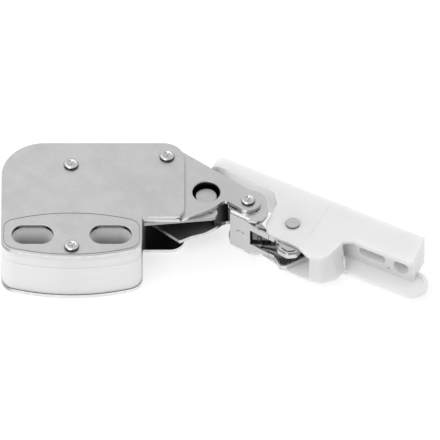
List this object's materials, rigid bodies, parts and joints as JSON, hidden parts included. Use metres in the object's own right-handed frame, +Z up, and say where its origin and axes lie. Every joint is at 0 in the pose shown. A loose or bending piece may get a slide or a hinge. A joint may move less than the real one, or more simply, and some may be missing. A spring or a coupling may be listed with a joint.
{
  "type": "push to open catch",
  "caption": "Flat push-to-open catch: riveted steel body with a slotted plastic mounting boss, a sprung swing arm on a folded knee bracket, and a pivoting plastic door adapter",
  "frame": {"origin": "midway between the two screw slots of the mounting boss, on the underside that lies on the cabinet panel", "axes": "+X along the row of slots towards the swing arm and the cabinet's front, +Y away from the boss towards the arm's pivot, +Z up from the panel"},
  "size_m": [0.1234, 0.0472, 0.0191],
  "materials": {
    "plated_sheet": "satin bright zinc plating",
    "plated_rivet": "satin bright zinc plating",
    "spring_steel": "satin plated spring steel",
    "turned_steel": "plain turned steel, lightly oiled",
    "white_plastic": "fine matt moulded surface"
  },
  "bodies": {
    "body": {"top_plate": "plated_sheet", "bottom_plate": "plated_sheet", "mounting_boss": "white_plastic", "front_rivet": "plated_rivet", "rear_rivet": "plated_rivet", "arm_pivot_rivet": "plated_rivet", "rear_spacer": "turned_steel", "pivot_spacer": "turned_steel", "pivot_washer": "turned_steel", "opening_spring": "spring_steel", "latch_spring": "spring_steel"},
    "latch": {"latch_lever": "turned_steel"},
    "arm": {"swing_arm": "plated_sheet", "arm_inner_leaf": "plated_sheet", "arm_bush": "turned_steel", "drive_pin": "turned_steel", "knee_rivet": "plated_rivet", "knee_upper_bush": "turned_steel", "knee_lower_bush": "turned_steel"},
    "bracket": {"clip_bracket": "spring_steel", "hinge_strap": "spring_steel", "strap_rivet": "plated_rivet"},
    "adapter": {"door_adapter": "white_plastic", "adapter_pin": "plated_rivet"}
  },
  "joints": [
    {"name": "arm_hinge", "type": "hinge", "parent": "body", "child": "arm", "pos_m": [0.0275, 0.0303, 0.01], "axis": [0, 0, 1], "range_deg": [-55, 0], "stiffness_Nm_per_rad": 0.2, "springref_deg": 28.65, "deforming": ["opening_spring"]},
    {"name": "latch_hinge", "type": "hinge", "parent": "body", "child": "latch", "pos_m": [-0.0003, 0.0271, 0.016], "axis": [0, 0, 1], "range_deg": [-1, 9], "deforming": ["latch_spring"]},
    {"name": "knee_hinge", "type": "hinge", "parent": "arm", "child": "bracket", "pos_m": [0.051, 0.0142, 0.0084], "axis": [0, 0, 1], "range_deg": [-15, 6]},
    {"name": "adapter_hinge", "type": "hinge", "parent": "bracket", "child": "adapter", "pos_m": [0.0639, 0.008, 0.0084], "axis": [0, 0, 1], "range_deg": [-4, 4]}
  ],
  "couplings": [
    {"joint": "latch_hinge", "follows": "arm_hinge", "ratio": -0.14545}
  ]
}
